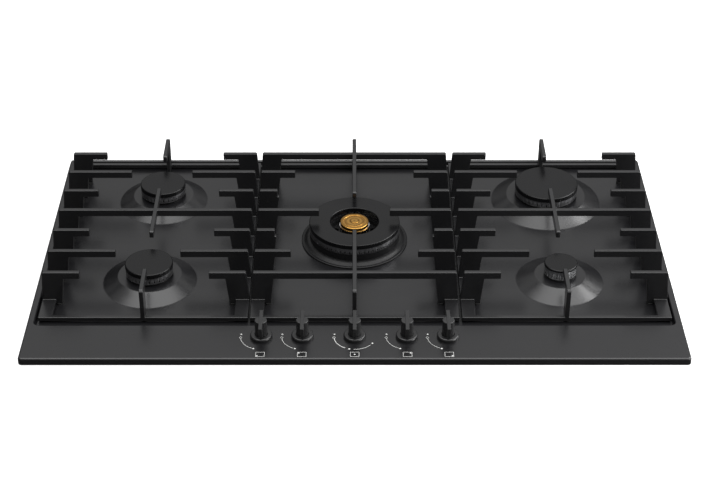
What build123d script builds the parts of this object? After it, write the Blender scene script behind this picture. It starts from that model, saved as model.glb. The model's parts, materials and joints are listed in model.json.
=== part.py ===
"""Five-burner gas cooktop, 900 mm wide, built as an assembly of separate pieces.

Frame: +X right, +Y back, +Z up. The origin is the centre of the underside of the
bottom casing. All lengths are in millimetres.
"""
import math
import os

from build123d import *

os.makedirs("parts", exist_ok=True)

# ------------------------------------------------------------------ overall sizes
SHEET = 1.5              # enamelled steel sheet
SKIRT_H = 10.0           # visible edge of the pan
GASKET_T = 1.0           # foam seal, compressed
WORKTOP_Z = 48.0         # top face of the kitchen worktop
CASING_T = 1.0           # steel of the bottom casing

RIM_Z = WORKTOP_Z + GASKET_T + SKIRT_H      # top face of the pan
PAN_UNDER_Z = RIM_Z - SHEET

# ------------------------------------------------------------------ recessed hearth
RECESS_DEPTH = 8.5
LIP_BEND = 2.0           # rounding where the recess begins
FLOOR_BEND = 3.0         # rounding at the foot of its walls
CONE_BEND = 5.0          # rounding of the raised seats, at shoulder and foot
CONE_FOOT = 9.0
FLOOR_Z = RIM_Z - RECESS_DEPTH
FLOOR_UNDER_Z = FLOOR_Z - SHEET

# ------------------------------------------------------------------ pan supports
GRATE_TOP = 45.0         # cooking level above the pan
GRATE_W = 289.5          # width of one grate at its base
END_LEAN = 3.0           # each end of a fin leans in by this much at the top
FIN_T = 6.5
FINGER_T = 6.0           # fingers that run front to back
FINGER_H = 10.7          # height of the free part of a finger
ROW_PITCH = 53.85
ROW_MIDDLE_Y = 41.6
FRAME_HALF_D = 208.1     # half depth of the lower frame
FRAME_H = 6.5
MEMBER_W = 19.0          # side member of the lower frame
TALL_W = 32.3            # full-height part at each end of a fin, under the fingers
TALL_FOOT_W = 28.3       # and where it meets the lower frame
FOOT_W = 9.3
PAD_H = 2.0
PAD_R = 5.0
LEG_D = 22.0             # depth of the legs under the end fingers
SHORT_L = 52.0           # reach of a short finger from the end of the grate
LONG_L = 96.0            # reach of the fingers that point at a burner
WOK_SHORT_L = 27.0
WOK_LONG_L = 90.0

LEFT_GAP = 2.5           # between the left and the centre support
RIGHT_GAP = 3.5          # between the centre and the right support
GRATE_X = {"left": -GRATE_W - LEFT_GAP, "centre": 0.0, "right": GRATE_W + RIGHT_GAP}
ROW_Y = {name: ROW_MIDDLE_Y + ROW_PITCH * step
         for step, name in zip(range(3, -4, -1), "ABCDEFG")}

# ------------------------------------------------------------------ outline of recess, pan and casing
SIDE_GAP = 3.25          # from the left support to the wall of the recess
FRONT_GAP = 17.0
BACK_GAP = 4.3
SIDE_RIM = 10.0          # rim of the pan beside the recess
BACK_RIM = 6.0
CASING_SIDE = 26.0       # the casing stands back from the pan, for an 860 x 490 cut-out
CASING_BACK = 21.0
KNOB_STEP = 27.3         # from the recess to the line of knobs

RECESS_W = 2 * (GRATE_W / 2 - GRATE_X["left"] + SIDE_GAP)
RECESS_FRONT_Y = ROW_MIDDLE_Y - FRAME_HALF_D - FRONT_GAP
RECESS_BACK_Y = ROW_MIDDLE_Y + FRAME_HALF_D + BACK_GAP
PAN_W = RECESS_W + 2 * SIDE_RIM
PAN_D = 2 * (RECESS_BACK_Y + BACK_RIM)
CASING_W = PAN_W - 2 * CASING_SIDE
CASING_D = PAN_D - 2 * CASING_BACK

# ------------------------------------------------------------------ burners
CAP_TOP = 24.5           # top of every cap above the pan
CAP_H = 7.0
THIN_CAP_H = 3.5         # the smallest burner has a thinner cap
CROWN_H = 9.5
SEAT = 4.0               # height of the raised seat round each burner
FLANGE_H = CAP_TOP - CAP_H - CROWN_H - SEAT
RAIL_TOP_Z = 24.0
RAIL_W = 36.0
RAIL_T = 1.5
RAIL_LIP = 3.4
GAS_Z = 31.0             # level of all gas pipes
PIPE_R = 4.0
PIPE_BORE = 3.0
NOSE_R = 6.4             # sockets that take the gas pipes
CUP_BASE_H = 14.0
CUP_WALL = 2.5
FIT = 0.05               # running and push-in fits, on the radius
LOOSE = 0.4              # loose locating fits, on the radius

SEAT_Z = RIM_Z + SEAT
CROWN_Z = SEAT_Z + FLANGE_H
CAP_Z = CROWN_Z + CROWN_H

# place, then radii: cap, cup flange, flat seat, foot of the seat, cup, circle of the two rods
BURNERS = {
    "front_left": dict(x=GRATE_X["left"], y=ROW_Y["F"], cap=34.0, flange=31.2, seat=45.0, foot=67.0,
                       cup=23.0, rods=26.0, low=CAP_Z),
    "rear_left": dict(x=GRATE_X["left"], y=ROW_Y["B"], cap=34.0, flange=31.2, seat=45.0, foot=67.0,
                      cup=23.0, rods=26.0, low=CAP_Z),
    "rear_right": dict(x=GRATE_X["right"], y=ROW_Y["B"], cap=47.5, flange=44.7, seat=59.5, foot=83.0,
                       cup=34.0, rods=39.5, low=CAP_Z),
    "front_right": dict(x=GRATE_X["right"], y=ROW_Y["F"], cap=23.5, flange=22.0, seat=36.0, foot=62.3,
                        cup=14.0, rods=16.8, low=CAP_Z + CAP_H - THIN_CAP_H),
}
CROWN_WALL = 4.0
CROWN_STEP = 0.3         # the crown stands back from the cap
ROD_ROOM = 2.8           # half width left in the pan for a rod
WOK_Y = ROW_MIDDLE_Y
WOK_CAP_R = 66.5
WOK_HOLE_R = 35.5
WOK_BODY_R = 66.0
WOK_CUP_R = 58.0
WOK_RING_R = 78.0
WOK_INNER_R = 21.0
WOK_BODY_Z = RIM_Z - 2.0
WOK_JET_X = 46.0
WOK_JET_Y = -13.0
WOK_TUBE_R = 6.5

# ------------------------------------------------------------------ controls
KNOB_Y = RECESS_FRONT_Y - KNOB_STEP
KNOB_X = {"front_left": -126.6, "rear_left": -70.8, "wok": 0.0,
          "rear_right": 70.8, "front_right": 126.6}
KNOB_H = 29.0
HUB_R = 8.3
BAR_TOP_L = 44.6
BAR_LOW_L = 29.0
BAR_W = 5.2
BEZEL_R = 15.2
BEZEL_H = 5.5
PUSH = 3.5               # push travel before a tap will turn
SPINDLE_R = 4.0
PUSHER_R = 6.0
PUSHER_H = 6.0
TAP_W = 24.0
TAP_FRONT = 13.0
TAP_BACK = 17.0
TAP_LOW_Z = 20.0
TAP_TOP_Z = 46.0
NECK_R = 8.0
SPINDLE_LOW_Z = 42.0
HUB_LOW_Z = RIM_Z + 4.0
BAR_LOW_Z = RIM_Z + BEZEL_H + PUSH + 0.4

# ------------------------------------------------------------------ gas and electrics
MANIFOLD_W = 16.0
MANIFOLD_LOW_Z = TAP_LOW_Z - MANIFOLD_W
MANIFOLD_X0 = -150.0
INLET_X = 372.0
INLET_Y = 205.0
INLET_W = 34.0
G_HALF_R = 10.48         # G1/2 thread, on the radius
GLAND_X = -335.0
GLAND_Z = 16.0
CORD_R = 4.0
SCREW_R = 2.0
HEAD_R = 3.8
HEAD_H = 2.4


def block(x0, x1, y0, y1, z0, z1):
    """A box between two corners."""
    size = Box(x1 - x0, y1 - y0, z1 - z0)
    return Pos((x0 + x1) / 2, (y0 + y1) / 2, (z0 + z1) / 2) * size


def rounded_block(w, d, r, z0, z1, x=0.0, y=0.0):
    """An upright box with rounded vertical edges."""
    return Pos(x, y, z0) * extrude(RectangleRounded(w, d, r), z1 - z0)


def disc(r, z0, z1, x=0.0, y=0.0):
    """An upright cylinder between two levels."""
    return Pos(x, y, (z0 + z1) / 2) * Cylinder(r, z1 - z0)


def ring(r_out, r_in, z0, z1, x=0.0, y=0.0):
    """An upright tube between two levels."""
    return disc(r_out, z0, z1, x, y) - disc(r_in, z0 - 1, z1 + 1, x, y)


def rod_x(r, x0, x1, y, z):
    """A cylinder that runs left to right."""
    return Pos((x0 + x1) / 2, y, z) * Rot(0, 90, 0) * Cylinder(r, x1 - x0)


def rod_y(r, y0, y1, x, z):
    """A cylinder that runs front to back."""
    return Pos(x, (y0 + y1) / 2, z) * Rot(90, 0, 0) * Cylinder(r, y1 - y0)


def plate_xz(points, y, t):
    """A plate cut to an outline in the XZ plane, centred on y."""
    return Pos(0, y, 0) * extrude(Plane.XZ * Polygon(*points, align=None), t / 2, both=True)


def plate_yz(points, x, t):
    """A plate cut to an outline in the YZ plane, centred on x."""
    return Pos(x, 0, 0) * extrude(Plane.YZ * Polygon(*points, align=None), t / 2, both=True)


def polar(r, angle, x=0.0, y=0.0):
    """A point at a radius and an angle in degrees round (x, y)."""
    turn = math.radians(angle)
    return x + r * math.cos(turn), y + r * math.sin(turn)


def save(name, *solids):
    """Write one node: a single solid, or several equal pieces."""
    shape = solids[0] if len(solids) == 1 else Compound(list(solids))
    export_step(shape, f"parts/{name}.step")


def one(shape):
    """The single solid of a shape."""
    return shape.solids()[0]


# ================================================================== pan
def pressed_cone(item, low):
    """A raised seat with rounded shoulders; low is the level of the floor round it."""
    rise = RECESS_DEPTH + SEAT
    edge = item["foot"] + CONE_FOOT
    outline = Polygon((0, low - 1), (edge, low - 1), (edge, low), (item["foot"], low),
                      (item["seat"], low + rise), (0, low + rise), align=None)
    shoulders = [v for v in outline.vertices() if v.Y > low - 0.1 and 1 < v.X < edge - 1]
    outline = fillet(shoulders, CONE_BEND)
    return Pos(item["x"], item["y"], 0) * revolve(Plane.XZ * outline, Axis.Z)


def build_pan():
    """Pressed top: rim, skirt, recessed hearth, burner cones and knob holes."""
    skin = rounded_block(PAN_W, PAN_D, 5, RIM_Z - SKIRT_H, RIM_Z)
    skin = fillet(skin.faces().sort_by(Axis.Z)[-1].edges(), 3.0)
    inside = rounded_block(PAN_W - 2 * SHEET, PAN_D - 2 * SHEET, 3.5, RIM_Z - SKIRT_H - 1, PAN_UNDER_Z)
    inside = fillet(inside.faces().sort_by(Axis.Z)[-1].edges(), 1.5)
    depth = RECESS_BACK_Y - RECESS_FRONT_Y
    middle = (RECESS_BACK_Y + RECESS_FRONT_Y) / 2
    tub = rounded_block(RECESS_W + 2 * SHEET, depth + 2 * SHEET, 9.5, FLOOR_UNDER_Z, RIM_Z - 0.5, 0, middle)
    tub = fillet(tub.faces().sort_by(Axis.Z)[0].edges(), FLOOR_BEND + SHEET / 2)
    hollow = rounded_block(RECESS_W, depth, 8, FLOOR_Z, RIM_Z, 0, middle)
    hollow = fillet(hollow.faces().sort_by(Axis.Z)[0].edges(), FLOOR_BEND)
    pan = skin - inside + tub - hollow
    lip = [e for e in pan.edges() if abs(e.center().Z - RIM_Z) < 0.01 and e.bounding_box().size.Z < 0.01]
    lip = [e for e in lip if abs(e.center().X) < RECESS_W / 2 + 1
           and RECESS_FRONT_Y - 1 < e.center().Y < RECESS_BACK_Y + 1]
    pan = fillet(lip, LIP_BEND)
    for item in BURNERS.values():
        pan = pan + pressed_cone(item, FLOOR_Z) - pressed_cone(item, FLOOR_UNDER_Z)
        pan = pan - disc(item["rods"] + ROD_ROOM, FLOOR_Z, SEAT_Z + 1, item["x"], item["y"])
    pan = pan - disc(WOK_CUP_R + 2, FLOOR_UNDER_Z - 1, FLOOR_Z + 1, 0, WOK_Y)
    for x in KNOB_X.values():
        pan = pan - disc(SPINDLE_R + 1.5, PAN_UNDER_Z - 1, RIM_Z + 1, x, KNOB_Y)
    return one(pan)


save("pan", build_pan())

seal = rounded_block(PAN_W - 2, PAN_D - 2, 4, WORKTOP_Z, WORKTOP_Z + GASKET_T)
seal -= rounded_block(PAN_W - 22, PAN_D - 22, 3, WORKTOP_Z - 1, WORKTOP_Z + GASKET_T + 1)
save("rim_gasket", one(seal))

# ================================================================== bottom casing
HALF_W = CASING_W / 2
HALF_D = CASING_D / 2
WALL_X = HALF_W - CASING_T
WALL_Y = HALF_D - CASING_T
RAIL_Y = {"front": ROW_Y["F"], "middle": ROW_MIDDLE_Y, "rear": ROW_Y["B"]}
END_SCREW_Z = 14.0
CLAMP_X = 250.0
CLAMP_W = 20.0
CLAMP_T = 2.0
CLAMP_SCREW_Z = 34.0
CASING_CORNER = 4.0


def build_casing():
    """Steel box under the pan, open at the top, with the gas and cord openings."""
    tray = rounded_block(CASING_W, CASING_D, CASING_CORNER, 0, PAN_UNDER_Z)
    tray -= rounded_block(CASING_W - 2 * CASING_T, CASING_D - 2 * CASING_T, CASING_CORNER - CASING_T,
                          CASING_T, PAN_UNDER_Z + 1)
    front = RECESS_FRONT_Y - SHEET - 0.5
    tray -= block(-PAN_W, PAN_W, front, PAN_D, FLOOR_UNDER_Z, RIM_Z)
    tray -= disc(G_HALF_R + 1.5, -1, 2, INLET_X, INLET_Y)
    tray -= rod_y(8.0, WALL_Y - 2, HALF_D + 2, GLAND_X, GLAND_Z)
    for side in (-1, 1):
        for y in RAIL_Y.values():
            tray -= Pos(side * WALL_X, y, END_SCREW_Z) * Rot(0, 90, 0) * Cylinder(SCREW_R + FIT, 6)
        for x in (-CLAMP_X, CLAMP_X):
            tray -= Pos(x, side * WALL_Y, CLAMP_SCREW_Z) * Rot(90, 0, 0) * Cylinder(SCREW_R + FIT, 6)
    return one(tray)


# The box is a floor plate with four upright strips; the front and back strips turn the corners.
casing = build_casing()
TURN_Y = HALF_D - CASING_CORNER
strips = [
    block(-PAN_W, PAN_W, -PAN_D, -TURN_Y, CASING_T, RIM_Z),
    block(-PAN_W, PAN_W, TURN_Y, PAN_D, CASING_T, RIM_Z),
    block(-PAN_W, 0, -TURN_Y, TURN_Y, CASING_T, RIM_Z),
    block(0, PAN_W, -TURN_Y, TURN_Y, CASING_T, RIM_Z),
]
save("bottom_casing", one(casing & block(-PAN_W, PAN_W, -PAN_D, PAN_D, -1, CASING_T)))
save("casing_walls", *[one(casing & strip) for strip in strips])


def build_rail(y):
    """Folded channel across the casing that carries the burner cups."""
    top = block(-WALL_X, WALL_X, y - RAIL_W / 2, y + RAIL_W / 2, RAIL_TOP_Z - RAIL_T, RAIL_TOP_Z)
    rail = top
    for side in (-1, 1):
        edge = y + side * (RAIL_W / 2 - RAIL_T / 2)
        rail += block(-WALL_X + 4, WALL_X - 4, edge - RAIL_T / 2, edge + RAIL_T / 2, RAIL_TOP_Z - RAIL_LIP, RAIL_TOP_Z)
        face = side * (WALL_X - RAIL_T / 2)
        rail += block(face - RAIL_T / 2, face + RAIL_T / 2, y - 12, y + 12, RAIL_TOP_Z - 16, RAIL_TOP_Z)
        rail -= Pos(face, y, END_SCREW_Z) * Rot(0, 90, 0) * Cylinder(SCREW_R + FIT, 6)
    return rail


def cup_screw_spots():
    """Places of the screws that hold each burner cup to its rail."""
    spots = []
    for item in BURNERS.values():
        reach = min(item["cup"] - 5, 12)
        spots += [(item["x"], item["y"] - reach), (item["x"], item["y"] + reach)]
    spots += [(-34.0, WOK_Y), (34.0, WOK_Y)]
    return spots


CUP_SCREWS = cup_screw_spots()
rails = []
for rail_y in RAIL_Y.values():
    rail = build_rail(rail_y)
    for sx, sy in CUP_SCREWS:
        if abs(sy - rail_y) < RAIL_W / 2:
            rail -= disc(SCREW_R + FIT, RAIL_TOP_Z - 5, RAIL_TOP_Z + 1, sx, sy)
    rails.append(one(rail))
save("burner_rails", *rails)

screws = []
for sx, sy in CUP_SCREWS:
    shank = disc(SCREW_R, RAIL_TOP_Z - RAIL_T, RAIL_TOP_Z + 5, sx, sy)
    head = disc(HEAD_R, RAIL_TOP_Z - RAIL_T - HEAD_H, RAIL_TOP_Z - RAIL_T, sx, sy)
    slot = block(sx - HEAD_R, sx + HEAD_R, sy - 0.5, sy + 0.5, 0, RAIL_TOP_Z - RAIL_T - HEAD_H + 1)
    screws.append(one(shank + head - slot))
save("burner_screws", *screws)


def build_clamp(x, side):
    """Hook that is drawn up under the worktop, on the front or back wall."""
    y0 = side * HALF_D
    y1 = side * (HALF_D + CLAMP_T)
    y2 = side * (HALF_D + 15)
    upright = block(x - CLAMP_W / 2, x + CLAMP_W / 2, min(y0, y1), max(y0, y1), 12, 42)
    toe = block(x - CLAMP_W / 2, x + CLAMP_W / 2, min(y0, y2), max(y0, y2), 12, 12 + CLAMP_T)
    lip = block(x - CLAMP_W / 2, x + CLAMP_W / 2, min(side * (HALF_D + 13), y2), max(side * (HALF_D + 13), y2), 12, 17)
    clamp = upright + toe + lip
    clamp -= Pos(x, side * (HALF_D + 1), CLAMP_SCREW_Z) * Rot(90, 0, 0) * Cylinder(SCREW_R + FIT, 6)
    return one(clamp)


save("hold_down_clamps", *[build_clamp(x, s) for x in (-CLAMP_X, CLAMP_X) for s in (-1, 1)])


def wall_screw(stack):
    """M4 screw along +Z whose head bears at z = 0 and whose shank goes down."""
    shank = disc(SCREW_R, -stack - 3, 0)
    head = disc(HEAD_R, 0, HEAD_H)
    slot = block(-HEAD_R, HEAD_R, -0.5, 0.5, HEAD_H - 1, HEAD_H + 1)
    return one(shank + head - slot)


wall_screws = []
for side in (-1, 1):
    for y in RAIL_Y.values():
        wall_screws.append(Pos(side * HALF_W, y, END_SCREW_Z) * Rot(0, side * 90, 0) * wall_screw(4))
    for x in (-CLAMP_X, CLAMP_X):
        seat_y = side * (HALF_D + CLAMP_T)
        wall_screws.append(Pos(x, seat_y, CLAMP_SCREW_Z) * Rot(-side * 90, 0, 0) * wall_screw(4))
save("casing_screws", *wall_screws)


# ================================================================== burner cups
def spark_spot(item):
    """Electrode place: in the rear of the burner, in a notch of the crown."""
    return polar(item["rods"], 62, item["x"], item["y"])


def probe_spot(item):
    """Thermocouple place: in the rear of the burner, beside the electrode."""
    return polar(item["rods"], 118, item["x"], item["y"])


SPARK_R = 2.2
PROBE_R = 1.8
JET_R = 4.0
JET_HEX = 4.6
CUP_TOP_OF_BASE = RAIL_TOP_Z + CUP_BASE_H


def build_cup(item):
    """Cast cup: flange on the raised seat, mixing well, gas way and jet hole."""
    r = item["cup"]
    side = 1 if item["x"] < 0 else -1
    cup = disc(r, RAIL_TOP_Z, SEAT_Z + 1)
    cup += disc(item["flange"], SEAT_Z, CROWN_Z)
    cup -= disc(r - CUP_WALL, CUP_TOP_OF_BASE, CROWN_Z + 1)
    cup -= disc(JET_R + FIT, GAS_Z, CUP_TOP_OF_BASE + 1)
    reach = r + 8
    nose = rod_x(NOSE_R, min(0, side * reach), max(0, side * reach), 0, GAS_Z)
    cup += nose - disc(JET_R + FIT, GAS_Z, CUP_TOP_OF_BASE + 1)
    cup -= rod_x(PIPE_BORE, min(0, side * reach), max(0, side * reach), 0, GAS_Z)
    socket = sorted((side * (reach - 7), side * (reach + 1)))
    cup -= rod_x(PIPE_R + FIT, socket[0], socket[1], 0, GAS_Z)
    cup = Pos(item["x"], item["y"], 0) * cup
    for spot, radius in ((spark_spot(item), SPARK_R), (probe_spot(item), PROBE_R)):
        cup -= disc(radius + FIT, RAIL_TOP_Z, CROWN_Z + 1, *spot)
    for sx, sy in CUP_SCREWS:
        if math.hypot(sx - item["x"], sy - item["y"]) < r:
            cup -= disc(SCREW_R + FIT, RAIL_TOP_Z - 1, RAIL_TOP_Z + 6, sx, sy)
    return one(cup)


for name, item in BURNERS.items():
    save(f"burner_cup_{name}", build_cup(item))

WOK_PIPE_X = 7.0


def build_wok_cup():
    """Cast body of the two-ring burner with two gas ways and air openings."""
    cup = disc(WOK_CUP_R, RAIL_TOP_Z, WOK_BODY_Z + 1)
    cup += disc(WOK_BODY_R, WOK_BODY_Z, CROWN_Z)
    cup -= disc(WOK_CUP_R - CUP_WALL, CUP_TOP_OF_BASE, WOK_BODY_Z)
    cup -= disc(WOK_BODY_R - 4, WOK_BODY_Z + 3, CROWN_Z + 1) - disc(40, 0, 200)
    cup -= disc(37, WOK_BODY_Z + 3, CROWN_Z + 1) - disc(WOK_INNER_R + 2, 0, 200)
    cup -= disc(WOK_INNER_R - 1, WOK_BODY_Z - 1, CROWN_Z + 1)
    for angle in (22.5, 157.5, 202.5, 247.5, 292.5, 337.5):
        cup -= disc(4.5, WOK_BODY_Z - 1, WOK_BODY_Z + 4, *polar(30, angle))
    cup -= disc(WOK_TUBE_R + LOOSE, WOK_BODY_Z - 1, CROWN_Z + 1, WOK_JET_X, WOK_JET_Y)
    jets = ((0.0, 0.0, -WOK_PIPE_X), (WOK_JET_X, WOK_JET_Y, WOK_PIPE_X))
    for jx, jy, px in jets:
        cup += rod_y(NOSE_R, -WOK_CUP_R - 8, -WOK_CUP_R + 8, px, GAS_Z)
    for jx, jy, px in jets:
        cup -= disc(JET_R + FIT, GAS_Z, CUP_TOP_OF_BASE + 1, jx, jy)
        cup -= rod_y(PIPE_BORE, -WOK_CUP_R - 9, jy + PIPE_BORE, px, GAS_Z)
        cup -= rod_x(PIPE_BORE, min(jx, px), max(jx, px), jy, GAS_Z)
        cup -= rod_y(PIPE_R + FIT, -WOK_CUP_R - 9, -WOK_CUP_R - 1, px, GAS_Z)
    cup = Pos(0, WOK_Y, 0) * cup
    for spot, radius in ((WOK_SPARK, SPARK_R), (WOK_PROBE, PROBE_R)):
        cup -= disc(radius + FIT, WOK_BODY_Z - 1, CROWN_Z + 1, *spot)
    for sx, sy in CUP_SCREWS[-2:]:
        cup -= disc(SCREW_R + FIT, RAIL_TOP_Z - 1, RAIL_TOP_Z + 6, sx, sy)
    return one(cup)


WOK_SPARK = polar(29.5, 68, 0, WOK_Y)
WOK_PROBE = polar(29.5, 112, 0, WOK_Y)
save("burner_cup_wok", build_wok_cup())

bead = Polygon((WOK_CUP_R + LOOSE, FLOOR_Z + 4), (WOK_BODY_R - 1, FLOOR_Z + 4), (WOK_RING_R - 4, FLOOR_Z),
               (WOK_RING_R, FLOOR_Z), (WOK_RING_R, FLOOR_Z + 2), (WOK_RING_R - 1.5, FLOOR_Z + 3),
               (WOK_RING_R - 3, FLOOR_Z + 2.3), (WOK_RING_R - 4, FLOOR_Z + 2.3), (WOK_BODY_R + 2, WOK_BODY_Z),
               (WOK_CUP_R + LOOSE, WOK_BODY_Z), align=None)
save("wok_base_ring", one(Pos(0, WOK_Y, 0) * revolve(Plane.XZ * bead, Axis.Z)))

# ================================================================== jets, sparks, probes
jet_spots = [(item["x"], item["y"]) for item in BURNERS.values()]
jet_spots += [(0.0, WOK_Y), (WOK_JET_X, WOK_Y + WOK_JET_Y)]


def build_jet(x, y):
    """Brass injector: thread, hexagon and drilled nozzle."""
    z = CUP_TOP_OF_BASE
    jet = disc(JET_R, z - 6, z, x, y)
    jet += Pos(x, y, z) * extrude(RegularPolygon(JET_HEX, 6), 4)
    jet += Pos(x, y, z + 4.75) * Cone(3.5, 2, 1.5)
    jet -= disc(2.2, z - 7, z + 3, x, y)
    jet -= disc(0.5, z, z + 7, x, y)
    return one(jet)


save("injectors", *[build_jet(x, y) for x, y in jet_spots])


def build_spark(x, y, z_low):
    """Ceramic rod with a bare metal tip, just below the cap."""
    body = disc(SPARK_R, z_low, CROWN_Z + 4, x, y) + disc(0.9, CROWN_Z + 4, CAP_Z - 1.5, x, y)
    return one(body)


def build_probe(x, y, z_low):
    """Thermocouple rod with a rounded end, just below the cap."""
    body = disc(PROBE_R, z_low, CAP_Z - 2.5, x, y)
    return one(fillet(body.edges().sort_by(Axis.Z)[-1], 1.2))


sparks = [build_spark(*spark_spot(item), SEAT_Z - 14) for item in BURNERS.values()]
probes = [build_probe(*probe_spot(item), SEAT_Z - 14) for item in BURNERS.values()]
sparks.append(build_spark(*WOK_SPARK, WOK_BODY_Z - 8))
probes.append(build_probe(*WOK_PROBE, WOK_BODY_Z - 8))
save("spark_electrodes", *sparks)
save("thermocouples", *probes)


# ================================================================== crowns and caps
def ports(r, count, width, z0, z1, x, y):
    """Radial flame ports round a crown wall."""
    cutter = Pos(r, 0, (z0 + z1) / 2) * Box(14, width, z1 - z0)
    return [Pos(x, y, 0) * Rot(0, 0, 360 * k / count) * cutter for k in range(count)]


def build_crown(item):
    """Flame spreader: slotted wall, floor, mixing tube, notches for the rods."""
    x, y, r, top = item["x"], item["y"], item["cap"] - CROWN_STEP, item["low"]
    tube = item["cup"] * 0.5
    crown = disc(r, CROWN_Z, top) - disc(r - CROWN_WALL, CROWN_Z + 2, top + 1)
    crown += disc(item["cup"] - CUP_WALL - LOOSE, CROWN_Z - 5, CROWN_Z + 1)
    crown += disc(tube, CROWN_Z - 14, CROWN_Z + 1)
    crown -= disc(tube - 2, CROWN_Z - 15, top + 1)
    crown = Pos(x, y, 0) * crown
    count = int(r * 0.9) // 2 * 2
    crown -= ports(r, count, 1.6, CROWN_Z + 2, CROWN_Z + 5, x, y)
    for spot, radius in ((spark_spot(item), SPARK_R), (probe_spot(item), PROBE_R)):
        crown -= disc(radius + 1.2, CROWN_Z - 1, CAP_Z, *spot)
    return one(crown)


def build_cap(item):
    """Enamelled cap with a locating rim inside the crown."""
    x, y, r, low = item["x"], item["y"], item["cap"], item["low"]
    cap = disc(r, low, CAP_Z + CAP_H)
    cap = fillet(cap.edges().sort_by(Axis.Z)[-1], 2.0)
    inner = r - CROWN_STEP - CROWN_WALL - LOOSE
    rim = disc(inner, low - 2, low) - disc(inner - 2.5, low - 3, low + 1)
    cap = Pos(x, y, 0) * (cap + rim)
    for spot, radius in ((spark_spot(item), SPARK_R), (probe_spot(item), PROBE_R)):
        cap -= disc(radius + 1.6, low - 3, low, *spot)
    return one(cap)


for name, item in BURNERS.items():
    save(f"crown_{name}", build_crown(item))
    save(f"cap_{name}", build_cap(item))


def build_wok_outer_crown():
    """Ring-shaped flame spreader with ports outside and inside."""
    crown = disc(WOK_CAP_R - CROWN_STEP, CROWN_Z, CAP_Z) - disc(39, CROWN_Z - 1, CAP_Z + 1)
    crown -= disc(WOK_CAP_R - 6, CROWN_Z + 2, CAP_Z + 1) - disc(43, 0, 200)
    crown += disc(WOK_BODY_R - 4 - LOOSE, CROWN_Z - 3, CROWN_Z) - disc(WOK_BODY_R - 8, 0, 200)
    crown += disc(WOK_TUBE_R, CROWN_Z - 16, CROWN_Z + 1, WOK_JET_X, WOK_JET_Y)
    crown -= disc(WOK_TUBE_R - 1.5, CROWN_Z - 17, CAP_Z + 1, WOK_JET_X, WOK_JET_Y)
    crown = Pos(0, WOK_Y, 0) * crown
    crown -= ports(WOK_CAP_R - CROWN_STEP, 60, 1.6, CROWN_Z + 2, CROWN_Z + 5, 0, WOK_Y)
    crown -= ports(41 - 3, 24, 1.4, CAP_Z - 5, CAP_Z - 1.2, 0, WOK_Y)
    return one(crown)


def build_wok_ring_cap():
    """Ring-shaped enamelled cap."""
    cap = disc(WOK_CAP_R, CAP_Z, CAP_Z + CAP_H) - disc(WOK_HOLE_R, CAP_Z - 1, CAP_Z + CAP_H + 1)
    cap = fillet(cap.edges().group_by(Axis.Z)[-1], 1.5)
    outer = WOK_CAP_R - 6 - LOOSE
    cap += disc(outer, CAP_Z - 2, CAP_Z) - disc(outer - 2.5, CAP_Z - 3, CAP_Z + 1)
    return one(Pos(0, WOK_Y, 0) * cap)


def build_wok_inner_crown():
    """Small polished flame spreader in the middle of the ring."""
    r = WOK_INNER_R + 1
    crown = disc(r, CROWN_Z, CAP_Z + 1) - disc(r - 4, CROWN_Z + 2, CAP_Z + 2)
    crown += disc(WOK_INNER_R - 1 - LOOSE, CROWN_Z - 5, CROWN_Z + 1)
    crown += disc(9, CROWN_Z - 14, CROWN_Z + 1)
    crown -= disc(7, CROWN_Z - 15, CAP_Z + 2)
    crown = Pos(0, WOK_Y, 0) * crown
    crown -= ports(r, 20, 1.4, CAP_Z - 4.5, CAP_Z - 0.5, 0, WOK_Y)
    return one(crown)


def build_wok_centre_cap():
    """Turned brass cap with plain concentric steps."""
    z = CAP_Z + 1
    cap = disc(WOK_INNER_R, z, z + 6)
    cap = fillet(cap.edges().sort_by(Axis.Z)[-1], 1.5)
    cap -= ring(15.5, 14.3, z + 5.2, z + 7)
    cap += disc(6, z + 5, z + 6.8)
    inner = WOK_INNER_R + 1 - 4 - LOOSE
    cap += disc(inner, z - 2, z + 1) - disc(inner - 2.5, z - 3, z)
    return one(Pos(0, WOK_Y, 0) * cap)


save("crown_wok_outer", build_wok_outer_crown())
save("cap_wok_ring", build_wok_ring_cap())
save("crown_wok_inner", build_wok_inner_crown())
save("cap_wok_centre", build_wok_centre_cap())

# ================================================================== pan supports
TOP = RIM_Z + GRATE_TOP
FINGER_LOW = TOP - FINGER_H
FRAME_TOP = RIM_Z
FRAME_LOW = RIM_Z - FRAME_H
FOOT_LOW = FLOOR_Z + PAD_H
HALF_GRATE = GRATE_W / 2
FRONT_Y = ROW_MIDDLE_Y - FRAME_HALF_D
BACK_Y = ROW_MIDDLE_Y + FRAME_HALF_D


def fin(y, reach, hand, foot):
    """One fin at an end of the grate: tall end, free finger, optional foot."""
    end = HALF_GRATE
    outline = [
        (end, FRAME_TOP - 2),
        (end, FRAME_TOP + 4),
        (end - END_LEAN, TOP - 2),
        (end - END_LEAN - 0.6, TOP - 0.6),
        (end - END_LEAN - 2, TOP),
        (end - END_LEAN - reach, TOP),
        (end - END_LEAN - reach, FINGER_LOW),
        (end - TALL_W, FINGER_LOW),
        (end - TALL_FOOT_W, FRAME_TOP - 2),
    ]
    solid = plate_xz([(hand * u, z) for u, z in outline], y, FIN_T)
    if foot:
        inner = end - MEMBER_W - FOOT_W
        post = [(end - MEMBER_W + 1, FRAME_TOP), (end - MEMBER_W, FOOT_LOW), (inner, FOOT_LOW), (inner, FRAME_TOP)]
        solid += plate_xz([(hand * u, z) for u, z in post], y, FIN_T)
    return solid


def full_bar(y):
    """A bar that joins both ends of a row at cooking level."""
    half = HALF_GRATE - 20
    return block(-half, half, y - FIN_T / 2, y + FIN_T / 2, FINGER_LOW, TOP)


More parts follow.
